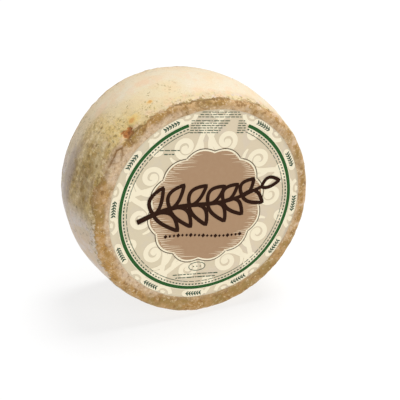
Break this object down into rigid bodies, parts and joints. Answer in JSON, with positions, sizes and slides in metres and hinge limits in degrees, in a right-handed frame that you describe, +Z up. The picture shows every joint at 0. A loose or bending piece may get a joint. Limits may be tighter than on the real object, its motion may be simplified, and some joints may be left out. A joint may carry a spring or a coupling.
{
  "type": "cheese wheel",
  "caption": "Thick round cheese with a bulging rim, standing on its rim, with a round paper label on one face.",
  "frame": {"origin": "on the surface that the cheese stands on, below the middle of the wheel", "axes": "+Z up, +Y along the wheel's axis away from the label, so the labelled face looks along -Y; +X to the right seen from the label"},
  "size_m": [0.2102, 0.0973, 0.2081],
  "materials": {
    "rind": "matte",
    "label_paper": "satin",
    "green_print": "satin",
    "brown_print": "satin"
  },
  "bodies": {
    "root": {"cheese_wheel": "rind", "paper_label": "label_paper", "green_band": "green_print", "rosette": "brown_print"}
  },
  "joints": []
}
